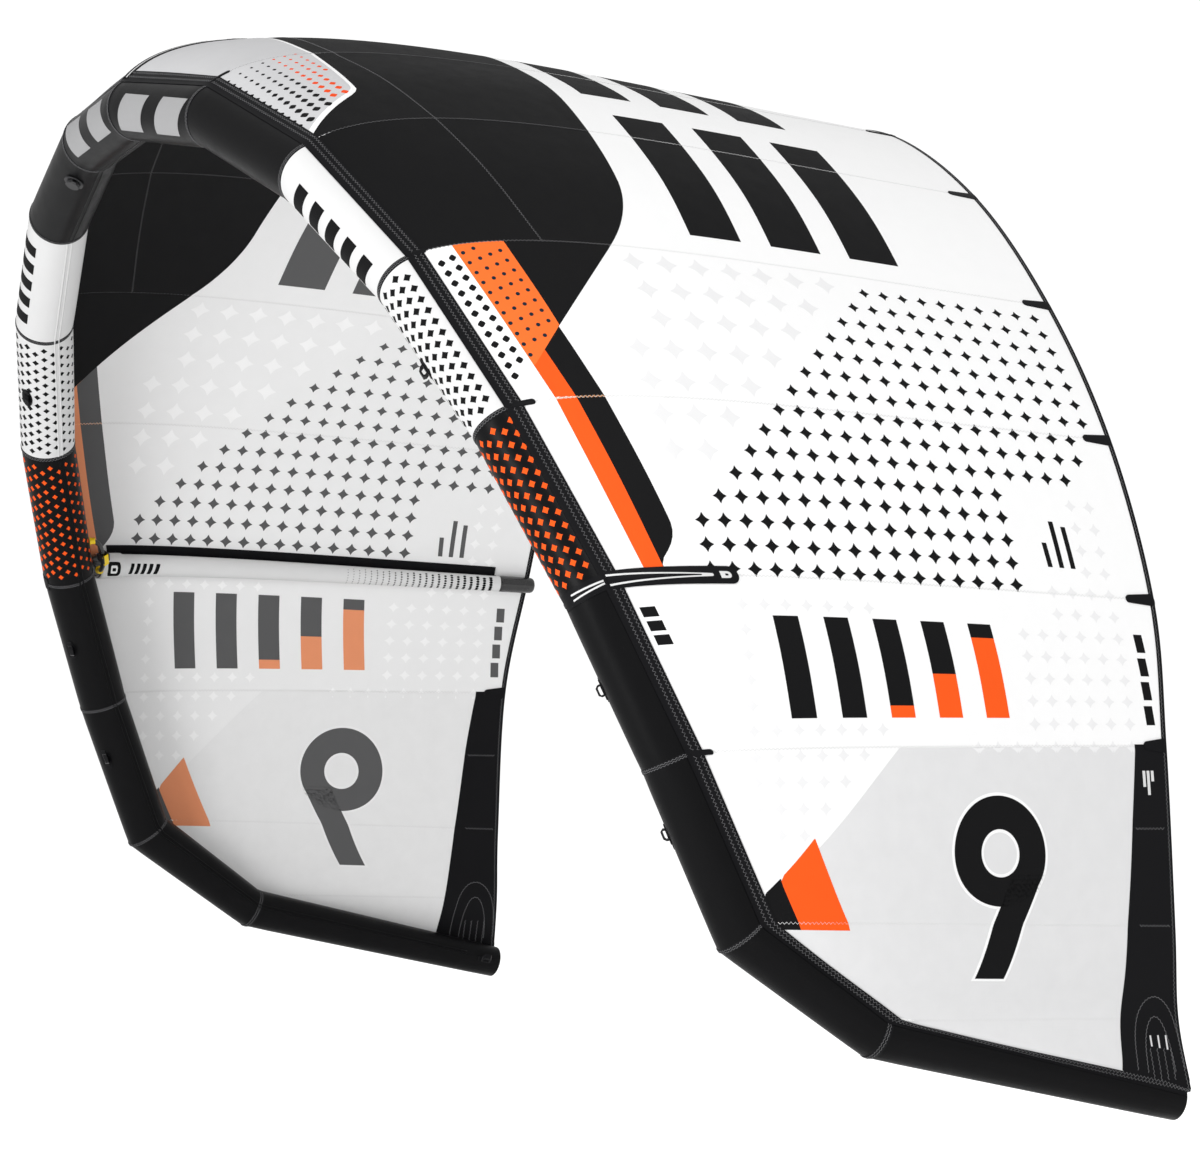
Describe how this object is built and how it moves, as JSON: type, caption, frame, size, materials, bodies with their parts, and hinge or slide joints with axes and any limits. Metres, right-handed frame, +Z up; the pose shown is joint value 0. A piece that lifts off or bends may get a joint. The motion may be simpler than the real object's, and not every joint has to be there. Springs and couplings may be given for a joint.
{
  "type": "kitesurf kite",
  "caption": "Inflatable arched kite with a mitred leading edge tube, cambered canopy, struts, filling hoses with pinch clips, valve and bridle loops.",
  "frame": {"origin": "centre of the leading edge tube at mid span", "axes": "+X along the span to the right wing, +Y from the leading edge to the trailing edge, +Z up"},
  "size_m": [3.5732, 1.8286, 2.3561],
  "materials": {
    "canopy_white": "satin coated ripstop",
    "canopy_black": "satin coated ripstop",
    "sleeve_black": "satin sailcloth",
    "sleeve_white": "satin sailcloth",
    "sleeve_dotted": "white sailcloth with black diamonds",
    "sleeve_orange": "black sailcloth with orange diamonds",
    "strut_white": "satin sailcloth",
    "cap_black": "satin",
    "bladder_film": "clear film",
    "hose_rubber": "satin",
    "clip_plastic": "moulded",
    "lever_yellow": "moulded",
    "valve_plastic": "moulded",
    "webbing_black": "woven"
  },
  "bodies": {
    "kite": {"leading_edge_sleeve_middle": "sleeve_black", "leading_edge_sleeve_white_right": "sleeve_white", "leading_edge_sleeve_white_left": "sleeve_white", "leading_edge_sleeve_dotted_right": "sleeve_dotted", "leading_edge_sleeve_dotted_left": "sleeve_dotted", "leading_edge_sleeve_orange_right": "sleeve_orange", "leading_edge_sleeve_orange_left": "sleeve_orange", "leading_edge_sleeve_outer_right": "sleeve_black", "leading_edge_sleeve_outer_left": "sleeve_black", "leading_edge_sleeve_tip_right": "sleeve_black", "leading_edge_sleeve_tip_left": "sleeve_black", "leading_edge_bladder": "bladder_film", "canopy_panel_middle": "canopy_black", "canopy_panel_1_right": "canopy_black", "canopy_panel_1_left": "canopy_black", "canopy_panel_2_right": "canopy_black", "canopy_panel_2_left": "canopy_black", "canopy_panel_3_right": "canopy_white", "canopy_panel_3_left": "canopy_white", "canopy_panel_4_right": "canopy_white", "canopy_panel_4_left": "canopy_white", "canopy_panel_5_right": "canopy_white", "canopy_panel_5_left": "canopy_white", "canopy_panel_6_right": "canopy_white", "canopy_panel_6_left": "canopy_white", "canopy_panel_tip_right": "canopy_white", "canopy_panel_tip_left": "canopy_white", "strut_sleeve_middle": "strut_white", "strut_bladder_middle": "bladder_film", "strut_tail_cap_middle": "cap_black", "strut_nose_cap_middle": "cap_black", "strut_hose_middle": "hose_rubber", "hose_clip_middle": "clip_plastic", "strut_sleeve_right": "strut_white", "strut_bladder_right": "bladder_film", "strut_tail_cap_right": "cap_black", "strut_nose_cap_right": "cap_black", "strut_hose_right": "hose_rubber", "hose_clip_right": "clip_plastic", "strut_sleeve_left": "strut_white", "strut_bladder_left": "bladder_film", "strut_tail_cap_left": "cap_black", "strut_nose_cap_left": "cap_black", "strut_hose_left": "hose_rubber", "hose_clip_left": "clip_plastic", "valve_base": "valve_plastic", "bridle_loop_front_right": "webbing_black", "bridle_loop_front_left": "webbing_black", "bridle_loop_mid_right": "webbing_black", "bridle_loop_mid_left": "webbing_black", "bridle_loop_back_right": "webbing_black", "bridle_loop_back_left": "webbing_black", "bridle_loop_rear_line_right": "webbing_black", "bridle_loop_rear_line_left": "webbing_black"},
    "valve_insert": {"valve_insert": "valve_plastic"},
    "valve_cap": {"valve_cap": "valve_plastic"},
    "hose_clip_lever_middle": {"hose_clip_lever_middle": "lever_yellow"},
    "hose_clip_lever_right": {"hose_clip_lever_right": "lever_yellow"},
    "hose_clip_lever_left": {"hose_clip_lever_left": "lever_yellow"}
  },
  "joints": [
    {"name": "valve_insert_turn", "type": "hinge", "parent": "kite", "child": "valve_insert", "pos_m": [-0.46129, 0.01151, -0.13499], "axis": [0.2413, -0.4956, -0.8343], "range_deg": [0, 60]},
    {"name": "valve_cap_lid", "type": "hinge", "parent": "valve_insert", "child": "valve_cap", "pos_m": [-0.43979, 0.00374, -0.13638], "axis": [-0.2824, -0.8584, 0.4282], "range_deg": [0, 110]},
    {"name": "hose_clip_lever_middle_hinge", "type": "hinge", "parent": "kite", "child": "hose_clip_lever_middle", "pos_m": [0.0411, 0.11078, -0.01189], "axis": [-0.4495, -0.7171, -0.5326], "range_deg": [0, 100]},
    {"name": "hose_clip_lever_right_hinge", "type": "hinge", "parent": "kite", "child": "hose_clip_lever_right", "pos_m": [1.52337, 0.46935, -1.02361], "axis": [0.1846, 0.8332, 0.5213], "range_deg": [0, 100]},
    {"name": "hose_clip_lever_left_hinge", "type": "hinge", "parent": "kite", "child": "hose_clip_lever_left", "pos_m": [-1.52337, 0.46935, -1.02361], "axis": [0.1846, -0.8332, -0.5213], "range_deg": [0, 100]}
  ]
}
